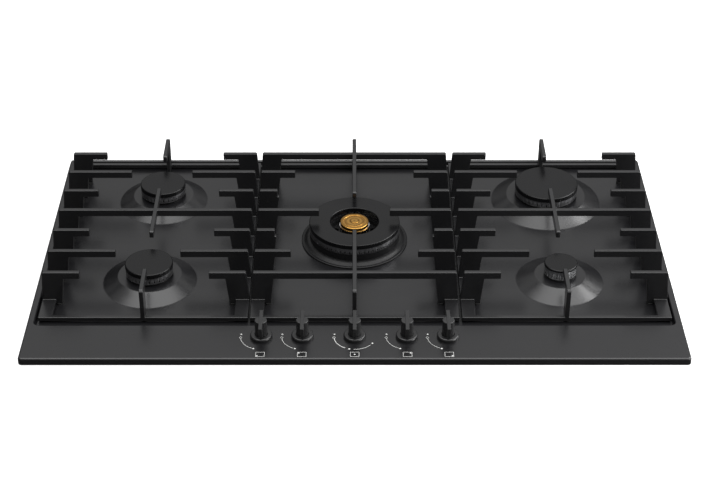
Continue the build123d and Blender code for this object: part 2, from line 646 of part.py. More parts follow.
def end_finger(y_end, y_tip):
    """Finger that starts on a leg on the front or rear bar and points inwards."""
    way = 1 if y_tip > y_end else -1
    leg = y_end + way * LEG_D
    outline = [
        (y_end, FRAME_LOW),
        (y_end, TOP - 3),
        (y_end + way * 3, TOP),
        (y_tip - way * 2, TOP),
        (y_tip, TOP - 2),
        (y_tip, FINGER_LOW),
        (leg, FINGER_LOW),
        (leg - way * 3, FRAME_LOW),
    ]
    return plate_yz(outline, 0, FINGER_T)


def lower_frame():
    """Rectangular frame that lies in the recess, flush with the pan."""
    frame = block(-HALF_GRATE, HALF_GRATE, FRONT_Y, BACK_Y, FRAME_LOW, FRAME_TOP)
    opening = HALF_GRATE - MEMBER_W
    frame -= block(-opening, opening, FRONT_Y + FIN_T, BACK_Y - FIN_T, FRAME_LOW - 1, FRAME_TOP + 1)
    return frame


SIDE_ROWS = {"A": SHORT_L, "B": LONG_L, "C": SHORT_L, "E": SHORT_L, "F": LONG_L, "G": SHORT_L}
WOK_ROWS = {"A": SHORT_L, "B": SHORT_L, "C": WOK_SHORT_L, "D": WOK_LONG_L,
            "E": WOK_SHORT_L, "F": SHORT_L, "G": SHORT_L}


def build_grate(kind):
    """Cast-iron pan support: frame, fins on both sides and end fingers."""
    rows = WOK_ROWS if kind == "centre" else SIDE_ROWS
    grate = lower_frame()
    for name, reach in rows.items():
        for hand in (-1, 1):
            grate += fin(ROW_Y[name], reach, hand, name in "AG")
    if kind == "centre":
        grate += full_bar(ROW_Y["A"])
        grate += full_bar(ROW_Y["G"])
        grate += end_finger(FRONT_Y, ROW_MIDDLE_Y - 53)
        grate += end_finger(BACK_Y, ROW_MIDDLE_Y + 46)
    else:
        for hand in (-1, 1):
            grate += fin(ROW_Y["D"], SHORT_L, hand, False)
        grate += full_bar(ROW_Y["D"])
        grate += end_finger(FRONT_Y, FRONT_Y + 56)
        grate += end_finger(BACK_Y, BACK_Y - 57)
        reach = 60.5
        outline = [(ROW_MIDDLE_Y - reach, FINGER_LOW), (ROW_MIDDLE_Y - reach, TOP - 2),
                   (ROW_MIDDLE_Y - reach + 2, TOP), (ROW_MIDDLE_Y + reach - 2, TOP),
                   (ROW_MIDDLE_Y + reach, TOP - 2), (ROW_MIDDLE_Y + reach, FINGER_LOW)]
        grate += plate_yz(outline, 0, FINGER_T)
    return one(Pos(GRATE_X[kind], 0, 0) * grate)


FOOT_X = HALF_GRATE - MEMBER_W - FOOT_W / 2
for kind, centre_x in GRATE_X.items():
    save(f"grate_{kind}", build_grate(kind))
    pads = [disc(PAD_R, FLOOR_Z, FOOT_LOW, centre_x + hand * FOOT_X, ROW_Y[row])
            for hand in (-1, 1) for row in "AG"]
    save(f"grate_feet_{kind}", *[one(pad) for pad in pads])


# ================================================================== controls
def build_knob(x):
    """Knob: round hub with a straight grip bar across it."""
    top = RIM_Z + KNOB_H
    hub = disc(HUB_R, HUB_LOW_Z, top)
    hub = fillet(hub.edges().sort_by(Axis.Z)[-1], 0.8)
    outline = [(-BAR_LOW_L / 2, BAR_LOW_Z), (-BAR_TOP_L / 2, top), (BAR_TOP_L / 2, top), (BAR_LOW_L / 2, BAR_LOW_Z)]
    bar = plate_yz(outline, 0, BAR_W)
    bar = chamfer(bar.edges().filter_by(Axis.Y).group_by(Axis.Z)[-1], 0.5)
    bore = disc(SPINDLE_R + FIT, HUB_LOW_Z - 1, top - 5) - block(SPINDLE_R - 1, 9, -9, 9, HUB_LOW_Z + 4, top)
    return one(Pos(x, KNOB_Y, 0) * (hub + bar - bore))


def build_spindle(x):
    """Steel spindle, round in the tap and flatted inside the knob."""
    top = RIM_Z + KNOB_H - 6
    rod = disc(SPINDLE_R, SPINDLE_LOW_Z, top) - block(SPINDLE_R - 1 - FIT, 9, -9, 9, HUB_LOW_Z + 4, top + 1)
    return one(Pos(x, KNOB_Y, 0) * rod)


def build_pusher(x):
    """Brass plunger under the spindle that opens the safety valve."""
    body = disc(PUSHER_R, SPINDLE_LOW_Z - PUSHER_H, SPINDLE_LOW_Z, x, KNOB_Y)
    body += disc(1.5, SPINDLE_LOW_Z - PUSHER_H - 5, SPINDLE_LOW_Z - PUSHER_H, x, KNOB_Y)
    return one(body)


def build_tap(x, outlets):
    """Tap body on the manifold: chamber, neck under the pan, gas outlets."""
    body = block(x - TAP_W / 2, x + TAP_W / 2, KNOB_Y - TAP_FRONT, KNOB_Y + TAP_BACK, TAP_LOW_Z, TAP_TOP_Z)
    body += disc(NECK_R, TAP_TOP_Z - 1, PAN_UNDER_Z, x, KNOB_Y)
    for out in outlets:
        body += rod_y(NOSE_R, KNOB_Y + TAP_BACK - 2, KNOB_Y + TAP_BACK + 9, x + out, GAS_Z)
    body -= disc(SPINDLE_R + FIT, SPINDLE_LOW_Z, PAN_UNDER_Z + 1, x, KNOB_Y)
    chamber_low = SPINDLE_LOW_Z - PUSHER_H - PUSH - 0.5
    body -= disc(PUSHER_R + FIT, chamber_low, SPINDLE_LOW_Z, x, KNOB_Y)
    body -= disc(1.5 + LOOSE, TAP_LOW_Z + 2, chamber_low, x, KNOB_Y)
    body -= disc(3, TAP_LOW_Z - 1, TAP_LOW_Z + 3, x, KNOB_Y)
    for out in outlets:
        body -= rod_y(PIPE_BORE, KNOB_Y, KNOB_Y + TAP_BACK + 10, x + out, GAS_Z)
        body -= rod_y(PIPE_R + FIT, KNOB_Y + TAP_BACK + 1, KNOB_Y + TAP_BACK + 10, x + out, GAS_Z)
    return one(body)


for name, x in KNOB_X.items():
    save(f"knob_{name}", build_knob(x))
    save(f"spindle_{name}", build_spindle(x))
    save(f"pusher_{name}", build_pusher(x))

bezels = []
for x in KNOB_X.values():
    bezel = disc(BEZEL_R, RIM_Z, RIM_Z + BEZEL_H, x, KNOB_Y)
    bezel = fillet(bezel.edges().sort_by(Axis.Z)[-1], 1.0)
    bezels.append(one(bezel - disc(HUB_R + LOOSE, RIM_Z - 1, RIM_Z + BEZEL_H + 1, x, KNOB_Y)))
save("knob_bezels", *bezels)

save("gas_taps", *[build_tap(x, (0,)) for name, x in KNOB_X.items() if name != "wok"])
save("gas_tap_wok", build_tap(0.0, (-WOK_PIPE_X, WOK_PIPE_X)))

# ================================================================== gas supply
half = MANIFOLD_W / 2
mid_z = MANIFOLD_LOW_Z + half
main_y0 = KNOB_Y - half
tube = block(MANIFOLD_X0, INLET_X + half, main_y0, main_y0 + MANIFOLD_W, MANIFOLD_LOW_Z, TAP_LOW_Z)
tube += block(INLET_X - half, INLET_X + half, main_y0, INLET_Y - INLET_W / 2, MANIFOLD_LOW_Z, TAP_LOW_Z)
way = MANIFOLD_W - 4
tube -= block(MANIFOLD_X0 + 2, INLET_X + way / 2, KNOB_Y - way / 2, KNOB_Y + way / 2, mid_z - way / 2, mid_z + way / 2)
tube -= block(INLET_X - way / 2, INLET_X + way / 2, KNOB_Y, INLET_Y, mid_z - way / 2, mid_z + way / 2)
for x in KNOB_X.values():
    tube -= disc(3, mid_z, TAP_LOW_Z + 1, x, KNOB_Y)
save("gas_manifold", one(tube))

inlet = rounded_block(INLET_W, INLET_W, 3, CASING_T, 26, INLET_X, INLET_Y)
inlet += disc(G_HALF_R + 1.2, 0, CASING_T + 1, INLET_X, INLET_Y)
inlet -= disc(G_HALF_R, -1, 15, INLET_X, INLET_Y)
inlet -= disc(6, 10, 18, INLET_X, INLET_Y)
inlet -= rod_y(5, INLET_Y - INLET_W, INLET_Y, INLET_X, mid_z)
save("gas_inlet", one(inlet))


def build_pipe(points, bend):
    """Drawn gas pipe along a path with rounded corners."""
    path = FilletPolyline(*points, radius=bend) if len(points) > 2 else Line(*points)
    profile = Plane(path @ 0, z_dir=path % 0) * (Circle(PIPE_R) - Circle(PIPE_BORE))
    return one(sweep(profile, path=path))


pipe_y0 = KNOB_Y + TAP_BACK + 1.2
pipes = []
for name, item in BURNERS.items():
    side = 1 if item["x"] < 0 else -1
    x_end = item["x"] + side * (item["cup"] + 1.2)
    x_tap = KNOB_X[name]
    pipes.append(build_pipe([(x_tap, pipe_y0, GAS_Z), (x_tap, item["y"], GAS_Z), (x_end, item["y"], GAS_Z)], 20))
save("gas_pipes", *pipes)

wok_front = WOK_Y - WOK_CUP_R - 1.2
save("gas_pipes_wok", *[build_pipe([(x, pipe_y0, GAS_Z), (x, wok_front, GAS_Z)], 0)
                        for x in (-WOK_PIPE_X, WOK_PIPE_X)])

# ================================================================== electrics
generator = rounded_block(76, 40, 3, CASING_T, 27, -180, 208)
for k in range(6):
    generator += disc(3, 26.9, 33, -205 + 10 * k, 208)
save("spark_generator", one(generator))

box = rounded_block(60, 46, 3, CASING_T, 34, GLAND_X, 205)
box -= rounded_block(55, 41, 2, CASING_T + 2.5, 31.5, GLAND_X, 205)
box -= rod_y(6.5, 200, 240, GLAND_X, GLAND_Z)
save("terminal_box", one(box))

gland = rod_y(8.0 - FIT, WALL_Y - 6, HALF_D, GLAND_X, GLAND_Z)
gland += rod_y(11.0, HALF_D, HALF_D + 3, GLAND_X, GLAND_Z)
gland += rod_y(11.0, WALL_Y - 6, WALL_Y, GLAND_X, GLAND_Z)
gland -= rod_y(CORD_R, WALL_Y - 8, HALF_D + 5, GLAND_X, GLAND_Z)
save("cable_gland", one(gland))
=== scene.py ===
"""Dressed model of a built-in gas cooktop with five burners.

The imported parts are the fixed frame. This script rounds the edges of the iron
castings, turns the caps, knobs and bezels, smooths the pressed top and the crowns,
prints the control marks, gives every part its finish and lights the cooktop in a
white worktop. Lengths in the classes are millimetres, meshes are metres.
"""
from __future__ import annotations

import json
import logging
import math
from collections.abc import Sequence
from dataclasses import dataclass
from enum import Enum

import bmesh
import bpy
from mathutils import Matrix, Vector

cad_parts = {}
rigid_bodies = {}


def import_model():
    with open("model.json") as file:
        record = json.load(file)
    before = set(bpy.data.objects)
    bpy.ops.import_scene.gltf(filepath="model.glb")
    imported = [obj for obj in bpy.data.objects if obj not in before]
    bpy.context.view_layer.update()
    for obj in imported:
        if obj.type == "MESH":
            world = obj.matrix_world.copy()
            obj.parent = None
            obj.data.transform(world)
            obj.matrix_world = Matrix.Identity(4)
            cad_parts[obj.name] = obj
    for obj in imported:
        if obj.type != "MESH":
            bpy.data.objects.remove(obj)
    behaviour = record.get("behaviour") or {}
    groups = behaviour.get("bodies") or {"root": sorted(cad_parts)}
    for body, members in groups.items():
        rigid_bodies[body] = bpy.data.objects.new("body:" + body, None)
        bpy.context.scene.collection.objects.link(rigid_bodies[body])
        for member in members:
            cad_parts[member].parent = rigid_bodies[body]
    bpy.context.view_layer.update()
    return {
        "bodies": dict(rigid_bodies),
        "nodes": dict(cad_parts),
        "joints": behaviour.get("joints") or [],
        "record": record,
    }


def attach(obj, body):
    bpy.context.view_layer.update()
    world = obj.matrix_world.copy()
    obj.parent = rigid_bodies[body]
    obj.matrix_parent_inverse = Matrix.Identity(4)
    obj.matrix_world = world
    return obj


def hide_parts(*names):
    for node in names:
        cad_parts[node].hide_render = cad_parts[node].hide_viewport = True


LOG = logging.getLogger("cooktop")
BASE = "cooktop"          # the body that everything fixed rides on
MM = 0.001
ORIGIN = (0.0, 0.0, 0.0)

RIM_Z = 59.0              # top face of the pressed top
WORKTOP_Z = 48.0          # top face of the worktop
ROW_MIDDLE_Y = 41.6       # the middle fin of the pan supports, and the wok burner
ROW_PITCH = 53.85
LEFT_X = -292.0           # middle of the left and of the right pan support
RIGHT_X = 293.0
CAP_Z = 76.5              # underside of the caps
CAP_TOP = 83.5
THIN_CAP_Z = 80.0         # underside of the smallest cap
RIM_DROP = 2.0            # the locating rim below a cap
RIM_T = 2.5
KNOB_Y = -210.8
KNOB_X = {"front_left": -126.6, "rear_left": -70.8, "wok": 0.0, "rear_right": 70.8, "front_right": 126.6}
JOIN = 0.005              # points closer than this are one
PATCH = 70.0              # size of the broad, faint unevenness of every finish


# ------------------------------------------------------------------ finishes
def linear(hex_colour: str) -> tuple[float, float, float, float]:
    """Turn an sRGB hex colour into linear light.

    Args:
        hex_colour: six hex digits, with or without a leading hash.

    Returns:
        Red, green, blue and an alpha of one.
    """
    digits = hex_colour.lstrip("#")
    parts = [int(digits[i:i + 2], 16) / 255 for i in (0, 2, 4)]
    red, green, blue = (c / 12.92 if c <= 0.04045 else ((c + 0.055) / 1.055) ** 2.4 for c in parts)
    return red, green, blue, 1.0


def add_node(
    tree: bpy.types.NodeTree,
    kind: str,
    settings: dict[str, object] | None = None,
    inputs: dict[str | int, object] | None = None,
) -> bpy.types.Node:
    """Add a node with its settings and its values or links.

    Args:
        tree: the node tree that receives it.
        kind: the node's type name.
        settings: properties to set on the node.
        inputs: values, or output sockets to link from, by input name.

    Returns:
        The new node.
    """
    made = tree.nodes.new(kind)
    for key, value in (settings or {}).items():
        setattr(made, key, value)
    for key, value in (inputs or {}).items():
        if isinstance(value, bpy.types.NodeSocket):
            tree.links.new(value, made.inputs[key])
        else:
            made.inputs[key].default_value = value
    return made


class Surface(Enum):
    """How a surface was made, which decides its pattern."""

    FIRED = "orange peel of a fired coat"
    SAND_CAST = "grit of a sand casting under its coat"
    ROLLED = "long drawn grain"
    SPANGLED = "crystals of a zinc coat"
    TURNED = "rings left by a lathe"
    MOULDED = "fine spark-eroded mould grain"


@dataclass(frozen=True)
class Finish:
    """One finish: its material, colours and the pattern of its surface.

    grain is the pattern's size and relief its height, both in millimetres.
    """

    name: str
    dark: str
    light: str
    surface: Surface
    roughness: tuple[float, float]
    grain: float
    relief: float
    metallic: float = 0.0
    specular: float = 0.5
    coat: float = 0.0
    centre: tuple[float, float] = (0.0, 0.0)

    def material(self) -> bpy.types.Material:
        """Return the material, made on first use."""
        existing = bpy.data.materials.get(self.name)
        if existing:
            return existing
        made = bpy.data.materials.new(self.name)
        made.use_nodes = True
        tree = made.node_tree
        tree.nodes.clear()
        place = add_node(tree, "ShaderNodeTexCoord").outputs["Object"]
        fine = self._fine(tree, place)
        broad = add_node(tree, "ShaderNodeTexNoise", inputs={
            "Vector": place, "Scale": 1 / (PATCH * MM), "Detail": 3.0, "Roughness": 0.6}).outputs["Fac"]
        blend = add_node(tree, "ShaderNodeMix", {"data_type": "FLOAT"}, {
            "Factor": 0.35, "A": fine, "B": broad}).outputs["Result"]
        colour = add_node(tree, "ShaderNodeMix", {"data_type": "RGBA"}, {
            "Factor": blend, "A": linear(self.dark), "B": linear(self.light)})
        low, high = self.roughness
        rough = add_node(tree, "ShaderNodeMapRange", inputs={
            "Value": blend, "From Min": 0.25, "From Max": 0.75, "To Min": low, "To Max": high})
        bump = add_node(tree, "ShaderNodeBump", inputs={
            "Height": fine, "Distance": self.relief * MM, "Strength": 0.8})
        shader = add_node(tree, "ShaderNodeBsdfPrincipled", inputs={
            "Base Color": colour.outputs[2], "Roughness": rough.outputs["Result"],
            "Normal": bump.outputs["Normal"], "Metallic": self.metallic,
            "Specular IOR Level": self.specular, "Coat Weight": self.coat, "Coat Roughness": 0.12})
        add_node(tree, "ShaderNodeOutputMaterial", inputs={"Surface": shader.outputs["BSDF"]})
        return made

    def _fine(self, tree: bpy.types.NodeTree, place: bpy.types.NodeSocket) -> bpy.types.NodeSocket:
        """Add the fine pattern.

        Args:
            tree: the material's node tree.
            place: the object coordinates.

        Returns:
            The pattern as a value from 0 to 1.
        """
        density = 1 / (self.grain * MM)
        if self.surface is Surface.SPANGLED:
            cells = add_node(tree, "ShaderNodeTexVoronoi", {"feature": "F1"}, {
                "Vector": place, "Scale": density, "Randomness": 1.0})
            return add_node(tree, "ShaderNodeSeparateColor", inputs={
                "Color": cells.outputs["Color"]}).outputs[0]
        if self.surface is Surface.TURNED:
            x, y = self.centre
            moved = add_node(tree, "ShaderNodeMapping", inputs={
                "Vector": place, "Location": (-x * MM, -y * MM, 0.0)}).outputs["Vector"]
            return add_node(tree, "ShaderNodeTexWave", {
                "wave_type": "RINGS", "rings_direction": "Z"}, {
                "Vector": moved, "Scale": density / 20, "Distortion": 0.6, "Detail": 2.0}).outputs["Fac"]
        stretch = (1.0, 0.05, 1.0) if self.surface is Surface.ROLLED else (1.0, 1.0, 1.0)
        scaled = add_node(tree, "ShaderNodeMapping", inputs={
            "Vector": place, "Scale": stretch}).outputs["Vector"]
        detail = 5.0 if self.surface is Surface.SAND_CAST else 2.0
        return add_node(tree, "ShaderNodeTexNoise", inputs={
            "Vector": scaled, "Scale": density, "Detail": detail, "Roughness": 0.55}).outputs["Fac"]


# Matt black vitreous enamel on pressed steel: a soft grey sheen with a faint orange peel.
PAN_ENAMEL = Finish("matt_black_vitreous_enamel", "#0d0d0e", "#141416", Surface.FIRED, (0.26, 0.34),
                    2.2, 0.006)
# Satin vitreous enamel on the caps: a little smoother and darker than the pan.
CAP_ENAMEL = Finish("satin_black_vitreous_enamel", "#09090a", "#0e0e0f", Surface.FIRED, (0.24, 0.32),
                    1.6, 0.006, specular=0.22)
# Enamelled cast iron: slightly lighter than the pan, with a fine grit that breaks up the highlights.
CAST_IRON = Finish("enamelled_cast_iron", "#121213", "#1b1b1c", Surface.SAND_CAST, (0.26, 0.36), 1.4, 0.005)
# Die-cast aluminium of the cups, painted near black as shade under the crowns, so that nothing glints
# there.
SHADED_DIE_CAST = Finish("die_cast_aluminium_painted_shade", "#161617", "#242425", Surface.SAND_CAST,
                  (0.42, 0.55), 1.0, 0.02, 0.6)
# The crowns are cast aluminium left bare: a soft grey sheen without sharp reflections.
CROWN_SATIN = Finish("satin_die_casting", "#8c8c8e", "#9c9c9e", Surface.SAND_CAST, (0.28, 0.36),
                     1.0, 0.003, 1.0)
# The wok burner's base ring: a duller black enamel, painted darker than the pan round it as shade in the
# gap round the drum.
RING_PAINTED_SHADE = Finish("ring_enamel_painted_shade", "#0a0a0b", "#101011", Surface.FIRED, (0.36, 0.46),
                   1.6, 0.006, specular=0.22)
# The smallest crown is bare metal and catches upright highlights.
CROWN_BRIGHT = Finish("polished_die_casting", "#b9babc", "#d5d6d8", Surface.TURNED, (0.16, 0.24),
                      1.0, 0.004, 1.0, centre=(RIGHT_X, ROW_MIDDLE_Y - 2 * ROW_PITCH))
# Polished aluminium: bright, with faint turning rings.
POLISHED = Finish("polished_aluminium", "#b9b9ba", "#dcdcdc", Surface.TURNED, (0.12, 0.22), 1.0, 0.004, 1.0)
# Solid brass, turned: a warm gold with fine rings that catch the light.
BRASS = Finish("turned_brass", "#85602a", "#c2954e", Surface.TURNED, (0.2, 0.32), 1.0, 0.01, 1.0,
               centre=(0.0, ROW_MIDDLE_Y))
# Zinc-dipped sheet: dull grey with the large crystals of the coat.
GALVANISED = Finish("galvanised_sheet_steel", "#9a9da0", "#bfc2c4", Surface.SPANGLED, (0.3, 0.5),
                    9.0, 0.003, 1.0)
# Zinc-plated screws and clamps: a cleaner, slightly warm grey.
PLATED_STEEL = Finish("zinc_plated_steel", "#a0a09c", "#c4c4be", Surface.ROLLED, (0.25, 0.4),
                      1.2, 0.004, 1.0)
# Drawn tube: pale, with grain along its length.
TUBE = Finish("drawn_aluminium_tube", "#b4b5b7", "#d2d3d4", Surface.ROLLED, (0.22, 0.36), 1.2, 0.004, 1.0)
# Turned spindles: steel with fine lathe rings.
SPINDLE = Finish("turned_steel", "#97989a", "#bcbdbf", Surface.TURNED, (0.2, 0.35), 1.0, 0.004, 1.0)
# Heat-proof thermoset of the knobs: duller than the enamel, with a fine mould grain.
KNOB = Finish("matt_black_thermoset", "#0d0d0e", "#161617", Surface.MOULDED, (0.42, 0.52), 0.8, 0.012)
# The collars are smoother than the knobs, so a thin light line runs round their edge.
BEZEL = Finish("satin_black_thermoset", "#101011", "#19191a", Surface.MOULDED, (0.3, 0.4), 0.8, 0.008)
# Electrical housings: a dull black plastic.
BOX = Finish("black_nylon_housing", "#141415", "#202022", Surface.MOULDED, (0.45, 0.6), 1.0, 0.02)
# Closed-cell foam and rubber scatter light widely and show no highlight.
FOAM = Finish("closed_cell_foam", "#101011", "#1d1d1e", Surface.SAND_CAST, (0.85, 0.95), 0.8, 0.08,
              specular=0.3)
RUBBER = Finish("silicone_rubber", "#0c0c0c", "#161616", Surface.MOULDED, (0.6, 0.75), 1.0, 0.02,
                specular=0.4)
# Glazed alumina: white with a thin clear glaze.
CERAMIC = Finish("glazed_alumina", "#dcd8cc", "#efece3", Surface.FIRED, (0.3, 0.4), 1.5, 0.01, coat=0.6)
# Copper sheath of the thermocouples, dulled by heat.
COPPER = Finish("copper_sheath", "#8c5a3c", "#b97c55", Surface.ROLLED, (0.28, 0.42), 1.0, 0.005, 1.0)
# White ceramic ink, fired into the enamel: a flat, slightly grey white.
PRINT = Finish("white_screen_print_ink", "#b4b4b2", "#cacac8", Surface.FIRED, (0.5, 0.6), 1.0, 0.005)

SLOT_FINISH = {
    "pan_enamel": PAN_ENAMEL, "cap_enamel": CAP_ENAMEL, "grate_iron": CAST_IRON,
    "burner_alloy": SHADED_DIE_CAST, "polished_alloy": POLISHED, "brass": BRASS,
    "zinc_steel": GALVANISED, "screw_steel": PLATED_STEEL, "pipe_alloy": TUBE,
    "knob_black": KNOB, "bezel_black": BEZEL, "spindle_steel": SPINDLE,
    "seal_foam": FOAM, "foot_rubber": RUBBER, "spark_ceramic": CERAMIC,
    "probe_copper": COPPER, "box_plastic": BOX, "print_white": PRINT,
}


# ------------------------------------------------------------------ mesh tools
def turned(
    profile: Sequence[tuple[float, float, float]], steps: int = 96, closed: bool = False,
) -> bmesh.types.BMesh:
    """Turn a profile about the Z axis, as on a lathe.

    Args:
        profile: points of radius, height and setback of the rounded corner.
        steps: number of segments round the axis.
        closed: joins the last point to the first, for a ring.

    Returns:
        The turned mesh.
    """
    mesh = bmesh.new()
    corners = [mesh.verts.new((r * MM, 0.0, z * MM)) for r, z, _ in profile]
    for first, second in zip(corners, corners[1:]):
        mesh.edges.new((first, second))
    if closed:
        mesh.edges.new((corners[-1], corners[0]))
    for corner, (_, _, setback) in zip(corners, profile):
        if setback:
            bmesh.ops.bevel(mesh, geom=[corner], offset=setback * MM, offset_type="OFFSET", segments=4,
                            profile=0.5, affect="VERTICES", material=-1)
    bmesh.ops.spin(mesh, geom=mesh.verts[:] + mesh.edges[:], cent=ORIGIN, axis=(0.0, 0.0, 1.0),
                   angle=math.tau, steps=steps, use_merge=True)
    bmesh.ops.remove_doubles(mesh, verts=mesh.verts[:], dist=JOIN * MM)
    bmesh.ops.recalc_face_normals(mesh, faces=mesh.faces[:])
    return mesh


def ease(mesh: bmesh.types.BMesh, width: float, segments: int = 2, angle: float = 30.0) -> None:
    """Round every edge at which the surface turns by more than an angle.

    Args:
        mesh: the mesh to work on.
        width: setback of the rounding in millimetres.
        segments: faces across each rounding.
        angle: an edge that turns by less than this, in degrees, stays as it is.
    """
    limit = math.radians(angle)
    sharp = [e for e in mesh.edges if len(e.link_faces) == 2 and e.calc_face_angle(0.0) > limit]
    bmesh.ops.bevel(mesh, geom=sharp, offset=width * MM, offset_type="OFFSET", segments=segments,
                    profile=0.5, affect="EDGES", clamp_overlap=True, material=-1)


def cut_plate(outline: Sequence[tuple[float, float]], thick: float) -> bmesh.types.BMesh:
    """Cut an upright plate that faces X to an outline.

    Args:
        outline: corners as (y, z) in millimetres.
        thick: thickness in millimetres, half to each side of X = 0.

    Returns:
        The plate.
    """
    mesh = bmesh.new()
    corners = [mesh.verts.new((-thick / 2 * MM, y * MM, z * MM)) for y, z in outline]
    step = Vector((thick * MM, 0.0, 0.0))
    face = mesh.faces.new(corners)
    pushed = bmesh.ops.extrude_face_region(mesh, geom=[face])["geom"]
    bmesh.ops.translate(mesh, verts=[v for v in pushed if isinstance(v, bmesh.types.BMVert)], vec=step)
    bmesh.ops.recalc_face_normals(mesh, faces=mesh.faces[:])
    return mesh


def move(mesh: bmesh.types.BMesh, x: float = 0.0, y: float = 0.0, z: float = 0.0) -> bmesh.types.BMesh:
    """Shift a mesh by millimetres and return it."""
    bmesh.ops.translate(mesh, verts=mesh.verts[:], vec=(x * MM, y * MM, z * MM))
    return mesh


def gather(meshes: Sequence[bmesh.types.BMesh]) -> bmesh.types.BMesh:
    """Put several meshes into one.

    Args:
        meshes: the meshes, which are freed.

    Returns:
        One mesh with all of them.
    """
    whole = bmesh.new()
    for mesh in meshes:
        carrier = bpy.data.meshes.new("carrier")
        mesh.to_mesh(carrier)
        mesh.free()
        whole.from_mesh(carrier)
        bpy.data.meshes.remove(carrier)
    return whole


def piece(name: str, mesh: bmesh.types.BMesh, finish: Finish, smooth: float = 35.0) -> bpy.types.Object:
    """Make an object of a mesh, with its finish and smooth shading.

    Args:
        name: the object's name.
        mesh: the finished mesh, which is freed.
        finish: the finish of the whole piece.
        smooth: angle in degrees above which an edge stays sharp.

    Returns:
        The object, at the origin.
    """
    data = bpy.data.meshes.new(name)
    mesh.to_mesh(data)
    mesh.free()
    data.shade_smooth()
    data.set_sharp_from_angle(angle=math.radians(smooth))
    data.materials.append(finish.material())
    made = bpy.data.objects.new(name, data)
    weighted = made.modifiers.new("weighted_normals", "WEIGHTED_NORMAL")
    weighted.keep_sharp = True
    bpy.context.scene.collection.objects.link(made)
    LOG.info("%s: %d faces", name, len(data.polygons))
    return made


def eased_copy(node: str, width: float, segments: int = 2) -> bmesh.types.BMesh:
    """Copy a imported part, join its faces and round its edges.

    Args:
        node: the part's name.
        width: setback of the rounding in millimetres, or 0 for none.
        segments: faces across each rounding.

    Returns:
        The eased mesh.
    """
    mesh = bmesh.new()
    mesh.from_mesh(bpy.data.objects[node].data)
    bmesh.ops.remove_doubles(mesh, verts=mesh.verts[:], dist=JOIN * MM)
    bmesh.ops.recalc_face_normals(mesh, faces=mesh.faces[:])
    if width:
        bmesh.ops.dissolve_limit(mesh, angle_limit=math.radians(1.0), verts=mesh.verts[:],
                                 edges=mesh.edges[:])
        ease(mesh, width, segments)
    return mesh


def install(made: bpy.types.Object, body: str, slot: str, *nodes: str) -> bpy.types.Object:
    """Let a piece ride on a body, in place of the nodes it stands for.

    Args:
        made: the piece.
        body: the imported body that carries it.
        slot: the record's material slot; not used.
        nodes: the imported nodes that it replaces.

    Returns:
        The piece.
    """
    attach(made, body)
    if nodes:
        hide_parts(*nodes)
    return made


# ------------------------------------------------------------------ pressed top
@dataclass
class PressedTop:
    """The enamelled top with its recess, cones and rolled edge."""

    smooth: float = 22.0

    def build(self) -> None:
        """Shade the pressed sheet as one continuous skin."""
        skin = piece("pressed_top", eased_copy("pan", 0.0), PAN_ENAMEL, self.smooth)
        install(skin, BASE, "pan_enamel", "pan")


# ------------------------------------------------------------------ pan supports
@dataclass
class PanSupport:
    """One comb-like cast iron support."""

    side: str
    edge: float = 1.4

    def build(self) -> None:
        """Round the casting's edges and corners."""
        name = f"grate_{self.side}"
        casting = piece(f"casting_{self.side}", eased_copy(name, self.edge, 3), CAST_IRON, 50.0)
        install(casting, name, "grate_iron", name)


# ------------------------------------------------------------------ burners
@dataclass
class RoundBurner:
    """A round burner: its enamelled cap and the crown that it lies on."""

    name: str
    x: float
    y: float
    cap_r: float
    cap_z: float = CAP_Z
    crown_finish: Finish = CROWN_SATIN
    crown_slot: str = "burner_alloy"
    rim_in: float = 4.7
    hollow: float = 1.5
    edge: float = 1.9

    def build(self) -> None:
        """Turn the cap with its rolled edge and locating rim, and smooth the crown."""
        r, low = self.cap_r, self.cap_z
        rim = r - self.rim_in
        cap = turned([
            (0.0, low + self.hollow, 0.0), (rim - RIM_T, low + self.hollow, 0.4),
            (rim - RIM_T, low - RIM_DROP, 0.3), (rim, low - RIM_DROP, 0.3), (rim, low, 0.0),
            (r, low, 0.3), (r, CAP_TOP, self.edge), (0.0, CAP_TOP, 0.0)])
        made = piece(f"enamel_cap_{self.name}", move(cap, self.x, self.y), CAP_ENAMEL)
        install(made, f"cap_{self.name}", "cap_enamel", f"cap_{self.name}")
        node = f"crown_{self.name}"
        spreader = piece(f"spreader_{self.name}", eased_copy(node, 0.0), self.crown_finish)
        install(spreader, node, self.crown_slot, node)


